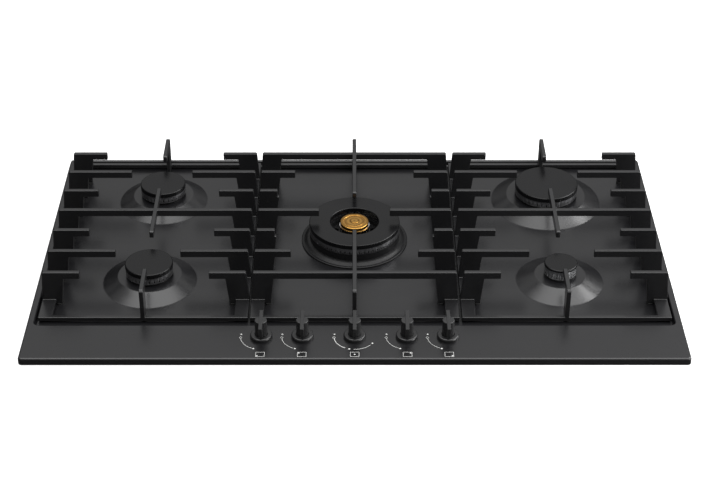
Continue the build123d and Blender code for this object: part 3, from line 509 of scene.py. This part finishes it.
@dataclass
class WokBurner:
    """The two-ring burner: its ring cap, its brass centre cap and the castings under them.

    The ring cap is a flat ring with a locating rim below it. The brass cap stands brass_lift higher
    and has a turned groove and a low boss in the middle of its top.
    """

    outer_r: float = 66.5
    hole_r: float = 35.5
    rim_r: float = 60.1
    edge: float = 1.6
    brass_r: float = 21.0
    brass_rim_r: float = 17.6
    brass_lift: float = 1.0
    brass_h: float = 6.0
    brass_hollow: float = 1.0
    groove: tuple[float, float] = (14.2, 15.6)
    groove_depth: float = 0.8
    groove_slope: float = 0.1
    boss_r: float = 6.0
    boss_h: float = 0.8
    boss_slope: float = 0.2

    def build(self) -> None:
        """Build both caps and smooth the outer crown and the base ring."""
        self._ring_cap()
        self._brass_cap()
        # The base ring's finish is darkened as painted shade.
        castings = (("crown_wok_outer", "crown_wok_outer", CROWN_SATIN), ("wok_base_ring", BASE, RING_PAINTED_SHADE))
        for node, body, finish in castings:
            made = piece(f"smooth_{node}", eased_copy(node, 0.0), finish)
            install(made, body, "burner_alloy", node)

    def _ring_cap(self) -> None:
        """Turn the enamelled ring with its locating rim."""
        rim_low = CAP_Z - RIM_DROP
        inside = self.rim_r - RIM_T
        ring = turned([
            (self.hole_r, CAP_Z, 0.4), (self.hole_r, CAP_TOP, self.edge),
            (self.outer_r, CAP_TOP, self.edge), (self.outer_r, CAP_Z, 0.4),
            (self.rim_r, CAP_Z, 0.0), (self.rim_r, rim_low, 0.3),
            (inside, rim_low, 0.3), (inside, CAP_Z, 0.0)], 128, True)
        made = piece("enamel_ring_cap", move(ring, 0.0, ROW_MIDDLE_Y), CAP_ENAMEL)
        install(made, "cap_wok_ring", "cap_enamel", "cap_wok_ring")

    def _brass_cap(self) -> None:
        """Turn the brass cap with its groove, its boss and its locating rim."""
        low = CAP_Z + self.brass_lift
        top = low + self.brass_h
        inside = self.brass_rim_r - RIM_T
        near, far = self.groove
        slope, bottom = self.groove_slope, top - self.groove_depth
        boss_top = top + self.boss_h
        hollow = low + self.brass_hollow
        below = [(0.0, hollow, 0.0), (inside, hollow, 0.2), (inside, low - RIM_DROP, 0.3),
                 (self.brass_rim_r, low - RIM_DROP, 0.3), (self.brass_rim_r, low, 0.0)]
        side = [(self.brass_r, low, 0.4), (self.brass_r, top, self.edge)]
        ring = [(far + slope, top, 0.3), (far - slope, bottom, 0.2), (near + slope, bottom, 0.2),
                (near - slope, top, 0.3)]
        boss = [(self.boss_r + self.boss_slope, top, 0.2), (self.boss_r - self.boss_slope, boss_top, 0.3),
                (0.0, boss_top, 0.0)]
        cap = turned(below + side + ring + boss)
        made = piece("brass_centre_cap", move(cap, 0.0, ROW_MIDDLE_Y), BRASS)
        install(made, "cap_wok_centre", "brass", "cap_wok_centre")


# ------------------------------------------------------------------ controls
@dataclass
class Control:
    """One tap's knob."""

    name: str
    x: float
    hub_r: float = 8.3
    hub_low: float = 63.0
    top: float = 88.0
    bar_low: float = 68.4
    bar_w: float = 5.2
    bar_top: float = 44.6
    bar_foot: float = 29.0
    bar_proud: float = 0.4
    bar_edge: float = 0.6

    def build(self) -> None:
        """Turn the hub and cut the grip bar, which stands a little proud of it."""
        hub_top = self.top - self.bar_proud
        hub = turned([(0.0, self.hub_low, 0.0), (self.hub_r, self.hub_low, 0.4),
                      (self.hub_r, hub_top, 0.9), (0.0, hub_top, 0.0)], 64)
        outline = [(-self.bar_foot / 2, self.bar_low), (self.bar_foot / 2, self.bar_low),
                   (self.bar_top / 2, self.top), (-self.bar_top / 2, self.top)]
        bar = cut_plate(outline, self.bar_w)
        ease(bar, self.bar_edge, 3)
        knob = piece(f"grip_{self.name}", move(gather([hub, bar]), self.x, KNOB_Y), KNOB)
        install(knob, f"knob_{self.name}", "knob_black", f"knob_{self.name}")


@dataclass
class Bezels:
    """The five collars that the knobs rise from."""

    places: Sequence[float]
    outer_r: float = 15.2
    hole_r: float = 8.7
    height: float = 5.5
    side_h: float = 3.6
    slope: float = 1.2

    def build(self) -> None:
        """Turn one collar for each knob."""
        rings = []
        for x in self.places:
            ring = turned([
                (self.hole_r, RIM_Z, 0.0), (self.hole_r, RIM_Z + self.height, 0.5),
                (self.outer_r - self.slope, RIM_Z + self.height, 0.9),
                (self.outer_r, RIM_Z + self.side_h, 0.8), (self.outer_r, RIM_Z, 0.0)], 72, True)
            rings.append(move(ring, x, KNOB_Y))
        install(piece("collars", gather(rings), BEZEL), BASE, "bezel_black", "knob_bezels")


class Spot(Enum):
    """Which burner an icon's dot stands for."""

    FRONT_LEFT = (-1, -1)
    REAR_LEFT = (-1, 1)
    WOK = (0, 0)
    REAR_RIGHT = (1, 1)
    FRONT_RIGHT = (1, -1)


@dataclass
class Marks:
    """The generic marks printed in front of and round one knob.

    Angles are in degrees, anticlockwise from the rear of the knob.
    """

    x: float
    spot: Spot
    two_rings: bool = False
    radius: float = 28.0
    film: float = 0.12
    sunk: float = 0.02
    line: float = 0.5
    thin: float = 0.6
    thick: float = 1.0
    stop_dot_r: float = 1.3
    drop_r: float = 2.1
    drop_tip: float = 2.4
    drop_stretch: float = 1.25
    spark_r: float = 1.9
    icon_w: float = 12.1
    icon_d: float = 10.3
    icon_y: float = -249.95
    icon_dot_r: float = 1.1
    icon_step: tuple[float, float] = (4.1, 3.1)

    def _on_circle(self, mesh: bmesh.types.BMesh, angle: float) -> bmesh.types.BMesh:
        """Move a mark from the middle to the circle round the knob.

        Args:
            mesh: the mark.
            angle: its place on the circle.

        Returns:
            The same mark.
        """
        turn = math.radians(angle)
        return move(mesh, -self.radius * math.sin(turn), self.radius * math.cos(turn))

    def _outline(self, mesh: bmesh.types.BMesh) -> bmesh.types.BMesh:
        """Leave only a line along the border of a flat mark, and return it."""
        inner = mesh.faces[:]
        bmesh.ops.inset_region(mesh, faces=inner, thickness=self.line * MM, use_boundary=True,
                               use_even_offset=True)
        bmesh.ops.delete(mesh, geom=inner, context="FACES_ONLY")
        return mesh

    def _disc(self, radius: float, points: int = 20) -> bmesh.types.BMesh:
        """Print a disc in the middle.

        Args:
            radius: its radius in millimetres.
            points: its number of corners.

        Returns:
            The flat disc.
        """
        mesh = bmesh.new()
        bmesh.ops.create_circle(mesh, cap_ends=True, segments=points, radius=radius * MM)
        return mesh

    def _arc(self, start: float, end: float, width: float) -> bmesh.types.BMesh:
        """Print an arc round the knob.

        Args:
            start: first angle.
            end: last angle.
            width: width of the line in millimetres.

        Returns:
            The flat arc.
        """
        mesh = bmesh.new()
        edge = [mesh.verts.new((0.0, (self.radius + side * width / 2) * MM, 0.0)) for side in (-1, 1)]
        line = mesh.edges.new(edge)
        bmesh.ops.rotate(mesh, verts=edge, cent=ORIGIN, matrix=Matrix.Rotation(math.radians(start), 3, "Z"))
        bmesh.ops.spin(mesh, geom=edge + [line], cent=ORIGIN, axis=(0.0, 0.0, 1.0),
                       angle=math.radians(end - start), steps=max(4, int((end - start) / 4)))
        return mesh

    def _drop(self, angle: float) -> bmesh.types.BMesh:
        """Print a small hollow drop on the circle at an angle."""
        mesh = self._disc(self.drop_r, 16)
        for vert in mesh.verts:
            if vert.co.y > 0:
                vert.co.x *= 1 - vert.co.y / (self.drop_tip * MM)
                vert.co.y *= self.drop_stretch
        return self._on_circle(self._outline(mesh), angle)

    def _spark(self, angle: float) -> bmesh.types.BMesh:
        """Print a small four-pointed spark on the circle at an angle."""
        mesh = self._disc(self.spark_r, 8)
        for number, vert in enumerate(mesh.verts):
            if number % 2:
                vert.co *= 0.5
        return self._on_circle(mesh, angle)

    def _icon(self) -> list[bmesh.types.BMesh]:
        """Print the outline of the cooktop with a dot for the burner."""
        frame = bmesh.new()
        bmesh.ops.create_grid(frame, x_segments=1, y_segments=1, size=0.5)
        bmesh.ops.scale(frame, verts=frame.verts[:], vec=(self.icon_w * MM, self.icon_d * MM, 1.0))
        across, back = (way * step for way, step in zip(self.spot.value, self.icon_step))
        parts = [self._outline(frame), move(self._disc(self.icon_dot_r), across, back)]
        return [move(part, 0.0, self.icon_y - KNOB_Y) for part in parts]

    def build(self) -> bmesh.types.BMesh:
        """Return the marks of this knob as a thin film on the top."""
        stop = self.stop_dot_r
        parts = [self._spark(78.0), self._drop(93.0), *self._icon()]
        if self.two_rings:
            parts += [self._arc(97.0, 153.0, self.thick), self._on_circle(self._disc(stop), 165.0),
                      self._arc(177.0, 229.0, self.thin), self._on_circle(self._disc(stop), 239.0)]
        else:
            parts += [self._arc(97.0, 155.0, self.thin), self._on_circle(self._disc(stop), 160.0)]
        flat = gather(parts)
        bmesh.ops.recalc_face_normals(flat, faces=flat.faces[:])
        bmesh.ops.solidify(flat, geom=flat.faces[:], thickness=self.film * MM)
        bmesh.ops.recalc_face_normals(flat, faces=flat.faces[:])
        low = min(vert.co.z for vert in flat.verts) / MM
        return move(flat, self.x, KNOB_Y, RIM_Z - low - self.sunk)


# ------------------------------------------------------------------ studio
@dataclass(frozen=True)
class Softbox:
    """A soft rectangular light: where it hangs, what it faces, its sides and its power."""

    name: str
    at: tuple[float, float, float]
    to: tuple[float, float, float]
    sides: tuple[float, float]
    watts: float

    def hang(self) -> None:
        """Add the light to the scene."""
        data = bpy.data.lights.new(self.name, "AREA")
        data.shape = "RECTANGLE"
        data.size, data.size_y = (side * MM for side in self.sides)
        data.energy = self.watts
        lamp = bpy.data.objects.new(self.name, data)
        lamp.location = Vector(self.at) * MM
        lamp.rotation_euler = (Vector(self.to) - Vector(self.at)).to_track_quat("-Z", "Y").to_euler()
        bpy.context.scene.collection.objects.link(lamp)


# The overhead box gives the top its even sheen; the two on the right draw the light edges.
SOFTBOXES = (
    Softbox("overhead_softbox", (0.0, -330.0, 1550.0), (0.0, -330.0, 0.0), (2400.0, 1500.0), 36.0),
    Softbox("right_softbox", (1400.0, 240.0, 980.0), (0.0, 0.0, 60.0), (1000.0, 900.0), 26.0),
    Softbox("right_front_softbox", (1600.0, -900.0, 480.0), (150.0, 0.0, 70.0), (700.0, 700.0), 14.0),
)


@dataclass
class Studio:
    """White worktop with its cut-out, soft lights and the camera.

    The camera sees a plain white room. What the cooktop mirrors of it is graded: from dark at the
    horizon to light overhead (room, between the heights in horizon), and darker on its left.
    glossy_dim is how much of the worktop the cooktop's gloss leaves out, and diffuse_share how much
    of the room's light falls on matt surfaces.
    """

    cut_w: float = 860.0
    cut_d: float = 490.0
    spread: float = 4000.0
    thick: float = 28.0
    seat_gap: float = 0.2
    glow: float = 0.72
    glossy_dim: float = 0.96
    room: tuple[float, float] = (0.15, 0.95)
    horizon: tuple[float, float] = (0.2, 0.65)
    diffuse_share: float = 0.5
    left_share: float = 0.35
    left_side: tuple[float, float] = (-0.9, -0.3)
    camera_at: tuple[float, float, float] = (-2.8, -2043.8, 1427.8)
    pitch: float = 33.799
    yaw: float = -0.01833
    focal_px: float = 1684.56
    image_w: int = 706

    def build(self) -> None:
        """Set up the worktop, the world, the lights and the camera."""
        self._worktop()
        self._world()
        for softbox in SOFTBOXES:
            softbox.hang()
        self._camera()
        bpy.context.scene.view_settings.view_transform = "Standard"

    def _worktop(self) -> None:
        """Lay a white worktop round the casing, just under the seal."""
        mesh = bmesh.new()
        bmesh.ops.create_grid(mesh, x_segments=1, y_segments=1, size=0.5)
        bmesh.ops.scale(mesh, verts=mesh.verts[:], vec=(self.cut_w * MM, self.cut_d * MM, 1.0))
        middle = mesh.faces[:]
        rim = bmesh.ops.extrude_edge_only(mesh, edges=mesh.edges[:])["geom"]
        outer = [v for v in rim if isinstance(v, bmesh.types.BMVert)]
        bmesh.ops.scale(mesh, verts=outer, vec=(self.spread / self.cut_w, self.spread / self.cut_d, 1.0))
        bmesh.ops.delete(mesh, geom=middle, context="FACES_ONLY")
        bmesh.ops.recalc_face_normals(mesh, faces=mesh.faces[:])
        bmesh.ops.solidify(mesh, geom=mesh.faces[:], thickness=self.thick * MM)
        high = max(v.co.z for v in mesh.verts) / MM
        move(mesh, z=WORKTOP_Z - self.seat_gap - high)
        data = bpy.data.meshes.new("worktop")
        mesh.to_mesh(data)
        mesh.free()
        data.materials.append(self._background("worktop_white_laminate"))
        slab = bpy.data.objects.new("worktop", data)
        bpy.context.scene.collection.objects.link(slab)

    def _background(self, name: str) -> bpy.types.Material:
        """Make the white laminate that shows as plain white but keeps the shadow.

        Args:
            name: the material's name.

        Returns:
            The material.
        """
        made = bpy.data.materials.new(name)
        made.use_nodes = True
        tree = made.node_tree
        tree.nodes.clear()
        path = add_node(tree, "ShaderNodeLightPath")
        dimmed = add_node(tree, "ShaderNodeMath", {"operation": "MULTIPLY"}, {
            0: path.outputs["Is Glossy Ray"], 1: self.glossy_dim})
        laminate = add_node(tree, "ShaderNodeBsdfDiffuse", inputs={"Color": linear("#c8c8c8")})
        shade = add_node(tree, "ShaderNodeBsdfDiffuse", inputs={"Color": linear("#202020")})
        glow = add_node(tree, "ShaderNodeEmission", inputs={
            "Color": linear("#ffffff"), "Strength": self.glow})
        lit = add_node(tree, "ShaderNodeAddShader", inputs={0: laminate.outputs[0], 1: glow.outputs[0]})
        mixed = add_node(tree, "ShaderNodeMixShader", inputs={
            0: self._seen(tree), 1: laminate.outputs[0], 2: lit.outputs[0]})
        final = add_node(tree, "ShaderNodeMixShader", inputs={
            0: dimmed.outputs[0], 1: mixed.outputs[0], 2: shade.outputs[0]})
        add_node(tree, "ShaderNodeOutputMaterial", inputs={"Surface": final.outputs[0]})
        return made

    def _seen(self, tree: bpy.types.NodeTree) -> bpy.types.NodeSocket:
        """Return a value of one for camera, glossy and transmission rays."""
        path = add_node(tree, "ShaderNodeLightPath")
        first = add_node(tree, "ShaderNodeMath", {"operation": "MAXIMUM"}, {
            0: path.outputs["Is Camera Ray"], 1: path.outputs["Is Glossy Ray"]})
        return add_node(tree, "ShaderNodeMath", {"operation": "MAXIMUM"}, {
            0: first.outputs[0], 1: path.outputs["Is Transmission Ray"]}).outputs[0]

    def _world(self) -> None:
        """Show the room as white; to the object it is darker at the horizon and on the left."""
        world = bpy.data.worlds.new("studio")
        bpy.context.scene.world = world
        world.use_nodes = True
        tree = world.node_tree
        tree.nodes.clear()
        way = add_node(tree, "ShaderNodeTexCoord").outputs["Generated"]
        parts = add_node(tree, "ShaderNodeSeparateXYZ", inputs={"Vector": way})
        low, high = self.room
        bottom, top = self.horizon
        graded = add_node(tree, "ShaderNodeMapRange", inputs={
            "Value": parts.outputs["Z"], "From Min": bottom, "From Max": top,
            "To Min": low, "To Max": high})
        far, near = self.left_side
        leftward = add_node(tree, "ShaderNodeMapRange", inputs={
            "Value": parts.outputs["X"], "From Min": far, "From Max": near,
            "To Min": self.left_share, "To Max": 1.0})
        share = add_node(tree, "ShaderNodeMapRange", inputs={
            "Value": self._seen(tree), "To Min": self.diffuse_share, "To Max": 1.0})
        level = add_node(tree, "ShaderNodeMath", {"operation": "MULTIPLY"}, {
            0: graded.outputs["Result"], 1: leftward.outputs["Result"]})
        soft = add_node(tree, "ShaderNodeMath", {"operation": "MULTIPLY"}, {
            0: level.outputs[0], 1: share.outputs["Result"]})
        path = add_node(tree, "ShaderNodeLightPath")
        strength = add_node(tree, "ShaderNodeMix", {"data_type": "FLOAT"}, {
            "Factor": path.outputs["Is Camera Ray"], "A": soft.outputs[0], "B": 1.0})
        sky = add_node(tree, "ShaderNodeBackground", inputs={
            "Color": linear("#ffffff"), "Strength": strength.outputs["Result"]})
        add_node(tree, "ShaderNodeOutputWorld", inputs={"Surface": sky.outputs[0]})

    def _camera(self) -> None:
        """Set the camera at the photograph's place and lens."""
        data = bpy.data.cameras.new("camera")
        data.sensor_width = 36.0
        data.lens = self.focal_px / self.image_w * data.sensor_width
        data.clip_end = 50.0
        camera = bpy.data.objects.new("camera", data)
        tilt = math.radians(self.pitch)
        turned_by = math.radians(self.yaw)
        cos_yaw, sin_yaw = math.cos(turned_by), math.sin(turned_by)
        right = Vector((cos_yaw, sin_yaw, 0.0))
        ahead = Vector((-sin_yaw * math.cos(tilt), cos_yaw * math.cos(tilt), -math.sin(tilt)))
        upward = right.cross(ahead)
        turn = Matrix((right, upward, -ahead)).transposed().to_4x4()
        camera.matrix_world = Matrix.Translation(Vector(self.camera_at) * MM) @ turn
        bpy.context.scene.collection.objects.link(camera)
        bpy.context.scene.camera = camera


# ------------------------------------------------------------------ whole
@dataclass
class Dresser:
    """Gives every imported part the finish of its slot."""

    frame: dict

    def dress(self) -> None:
        """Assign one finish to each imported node."""
        for part in self.frame["record"]["subparts"]:
            node = self.frame["nodes"][part["node"]]
            finish = SLOT_FINISH[part["material_slot"]]
            node.data.materials.clear()
            node.data.materials.append(finish.material())
            LOG.info("%s: %s", part["node"], finish.name)


def row(step: float) -> float:
    """Return the Y of a fin row, counted from the middle one."""
    return ROW_MIDDLE_Y + ROW_PITCH * step


def main() -> None:
    """Build the dressed cooktop in order."""
    logging.basicConfig(level=logging.INFO, format="%(message)s")
    bpy.ops.wm.read_factory_settings(use_empty=True)
    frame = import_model()
    Dresser(frame).dress()
    PressedTop().build()
    for side in ("left", "centre", "right"):
        PanSupport(side).build()
    for burner in (
        RoundBurner("front_left", LEFT_X, row(-2), 34.0), RoundBurner("rear_left", LEFT_X, row(2), 34.0),
        RoundBurner("rear_right", RIGHT_X, row(2), 47.5),
        RoundBurner("front_right", RIGHT_X, row(-2), 23.5, THIN_CAP_Z, CROWN_BRIGHT, "polished_alloy"),
    ):
        burner.build()
    WokBurner().build()
    for name, x in KNOB_X.items():
        Control(name, x).build()
    Bezels(list(KNOB_X.values())).build()
    prints = [Marks(x, Spot[name.upper()], name == "wok").build() for name, x in KNOB_X.items()]
    install(piece("control_marks", gather(prints), PRINT), BASE, "print_white")
    Studio().build()


if __name__ == "__main__":
    main()
